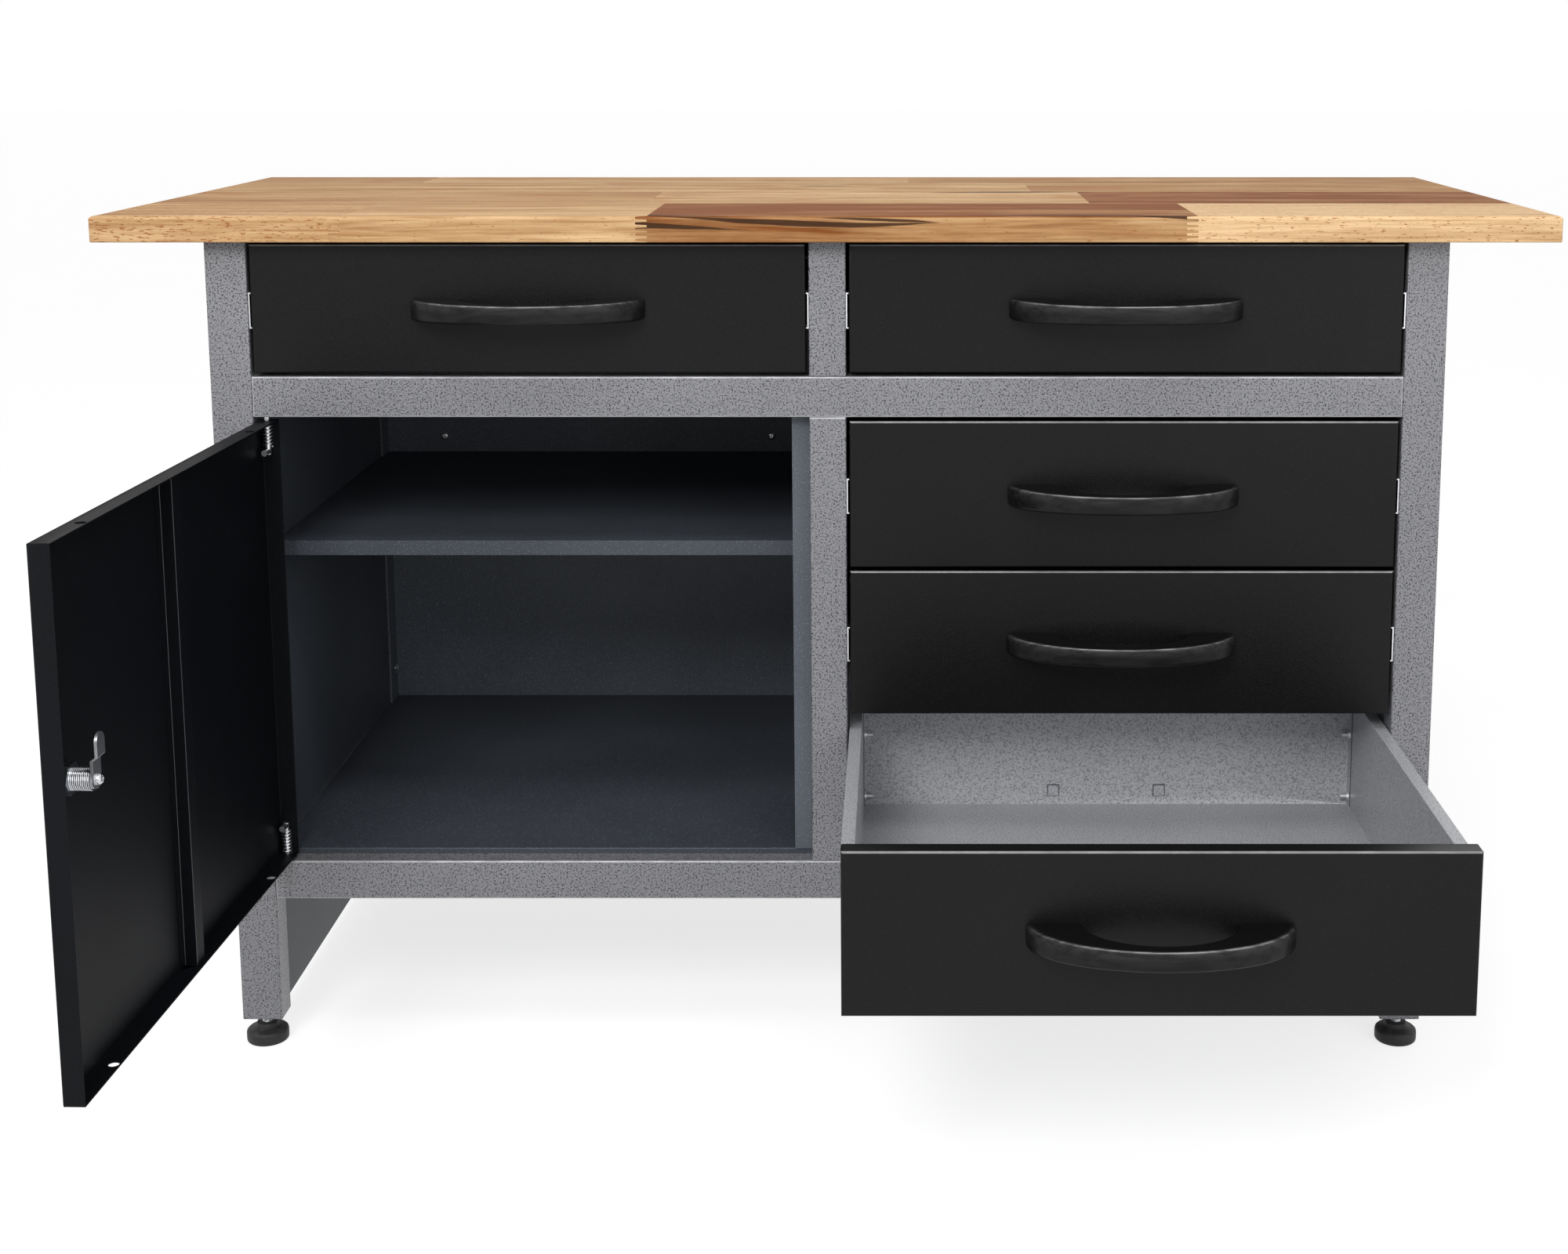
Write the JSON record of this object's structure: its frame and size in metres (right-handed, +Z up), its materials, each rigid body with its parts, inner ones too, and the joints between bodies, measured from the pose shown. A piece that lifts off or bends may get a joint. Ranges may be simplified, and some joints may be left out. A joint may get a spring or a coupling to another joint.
{
  "type": "workbench",
  "caption": "Workbench with a beech top on a folded steel frame: drawers on ball runners, a cupboard with a hinged, locking door and levelling feet.",
  "frame": {"origin": "on the floor, in the middle of the bench's box with its door open and its lowest drawer out", "axes": "+X to the right, +Y to the back, +Z up; the drawers open towards -Y"},
  "size_m": [1.4, 1.095, 0.85],
  "materials": {
    "beech": "oiled",
    "hammer_paint": "hammered enamel",
    "black_paint": "satin powder coat",
    "slate_paint": "satin powder coat",
    "zinc": "bright zinc plate",
    "black_plastic": "moulded"
  },
  "bodies": {
    "frame": {"worktop": "beech", "left_front_leg": "hammer_paint", "left_rear_leg": "hammer_paint", "right_front_leg": "hammer_paint", "right_rear_leg": "hammer_paint", "middle_rail": "hammer_paint", "bottom_rail": "hammer_paint", "upper_post": "hammer_paint", "lower_post": "hammer_paint", "partition": "slate_paint", "left_side_panel": "black_paint", "right_side_panel": "black_paint", "back_panel": "slate_paint", "cupboard_floor": "slate_paint", "cupboard_shelf": "slate_paint", "cabinet_runners": "zinc", "frame_screws": "zinc", "worktop_screws": "zinc"},
    "door": {"door_panel": "black_paint", "door_stiffener": "black_paint", "hinge_pins": "zinc", "lock_body": "zinc", "lock_nut": "zinc"},
    "lock": {"lock_plug": "zinc", "lock_cam": "zinc", "cam_screw": "zinc"},
    "upper_left_drawer": {"upper_left_drawer_front": "black_paint", "upper_left_drawer_tray": "hammer_paint", "upper_left_drawer_back": "hammer_paint", "upper_left_drawer_handle": "black_plastic", "upper_left_drawer_runners": "zinc"},
    "upper_left_cages": {"upper_left_drawer_ball_cages": "zinc"},
    "upper_right_drawer": {"upper_right_drawer_front": "black_paint", "upper_right_drawer_tray": "hammer_paint", "upper_right_drawer_back": "hammer_paint", "upper_right_drawer_handle": "black_plastic", "upper_right_drawer_runners": "zinc"},
    "upper_right_cages": {"upper_right_drawer_ball_cages": "zinc"},
    "third_drawer": {"third_drawer_front": "black_paint", "third_drawer_tray": "hammer_paint", "third_drawer_back": "hammer_paint", "third_drawer_handle": "black_plastic", "third_drawer_runners": "zinc"},
    "third_cages": {"third_drawer_ball_cages": "zinc"},
    "middle_drawer": {"middle_drawer_front": "black_paint", "middle_drawer_tray": "hammer_paint", "middle_drawer_back": "hammer_paint", "middle_drawer_handle": "black_plastic", "middle_drawer_runners": "zinc"},
    "middle_cages": {"middle_drawer_ball_cages": "zinc"},
    "bottom_drawer": {"bottom_drawer_front": "black_paint", "bottom_drawer_tray": "hammer_paint", "bottom_drawer_back": "hammer_paint", "bottom_drawer_handle": "black_plastic", "bottom_drawer_runners": "zinc"},
    "bottom_cages": {"bottom_drawer_ball_cages": "zinc"},
    "left_front_foot": {"left_front_foot": "black_plastic"},
    "left_rear_foot": {"left_rear_foot": "black_plastic"},
    "right_front_foot": {"right_front_foot": "black_plastic"},
    "right_rear_foot": {"right_rear_foot": "black_plastic"}
  },
  "joints": [
    {"name": "door_hinge", "type": "hinge", "parent": "frame", "child": "door", "pos_m": [-0.549, -0.01949, 0.425], "axis": [0, 0, -1], "range_deg": [-92, 13]},
    {"name": "lock_turn", "type": "hinge", "parent": "door", "child": "lock", "pos_m": [-0.56596, -0.50519, 0.452], "axis": [0.9994, -0.0349, 0], "range_deg": [0, 90]},
    {"name": "upper_left_slide", "type": "slide", "parent": "frame", "child": "upper_left_drawer", "axis": [0, -1, 0], "range_m": [0, 0.37]},
    {"name": "upper_left_cage_slide", "type": "slide", "parent": "frame", "child": "upper_left_cages", "axis": [0, -1, 0], "range_m": [0, 0.185]},
    {"name": "upper_right_slide", "type": "slide", "parent": "frame", "child": "upper_right_drawer", "axis": [0, -1, 0], "range_m": [0, 0.37]},
    {"name": "upper_right_cage_slide", "type": "slide", "parent": "frame", "child": "upper_right_cages", "axis": [0, -1, 0], "range_m": [0, 0.185]},
    {"name": "third_slide", "type": "slide", "parent": "frame", "child": "third_drawer", "axis": [0, -1, 0], "range_m": [0, 0.37]},
    {"name": "third_cage_slide", "type": "slide", "parent": "frame", "child": "third_cages", "axis": [0, -1, 0], "range_m": [0, 0.185]},
    {"name": "middle_slide", "type": "slide", "parent": "frame", "child": "middle_drawer", "axis": [0, -1, 0], "range_m": [0, 0.37]},
    {"name": "middle_cage_slide", "type": "slide", "parent": "frame", "child": "middle_cages", "axis": [0, -1, 0], "range_m": [0, 0.185]},
    {"name": "bottom_slide", "type": "slide", "parent": "frame", "child": "bottom_drawer", "axis": [0, -1, 0], "range_m": [-0.362, 0.008]},
    {"name": "bottom_cage_slide", "type": "slide", "parent": "frame", "child": "bottom_cages", "axis": [0, -1, 0], "range_m": [-0.181, 0.004]},
    {"name": "left_front_levelling", "type": "slide", "parent": "frame", "child": "left_front_foot", "axis": [0, 0, -1], "range_m": [-0.007, 0.02]},
    {"name": "left_rear_levelling", "type": "slide", "parent": "frame", "child": "left_rear_foot", "axis": [0, 0, -1], "range_m": [-0.007, 0.02]},
    {"name": "right_front_levelling", "type": "slide", "parent": "frame", "child": "right_front_foot", "axis": [0, 0, -1], "range_m": [-0.007, 0.02]},
    {"name": "right_rear_levelling", "type": "slide", "parent": "frame", "child": "right_rear_foot", "axis": [0, 0, -1], "range_m": [-0.007, 0.02]}
  ],
  "couplings": [
    {"joint": "upper_left_cage_slide", "follows": "upper_left_slide", "ratio": 0.5},
    {"joint": "upper_right_cage_slide", "follows": "upper_right_slide", "ratio": 0.5},
    {"joint": "third_cage_slide", "follows": "third_slide", "ratio": 0.5},
    {"joint": "middle_cage_slide", "follows": "middle_slide", "ratio": 0.5},
    {"joint": "bottom_cage_slide", "follows": "bottom_slide", "ratio": 0.5}
  ]
}
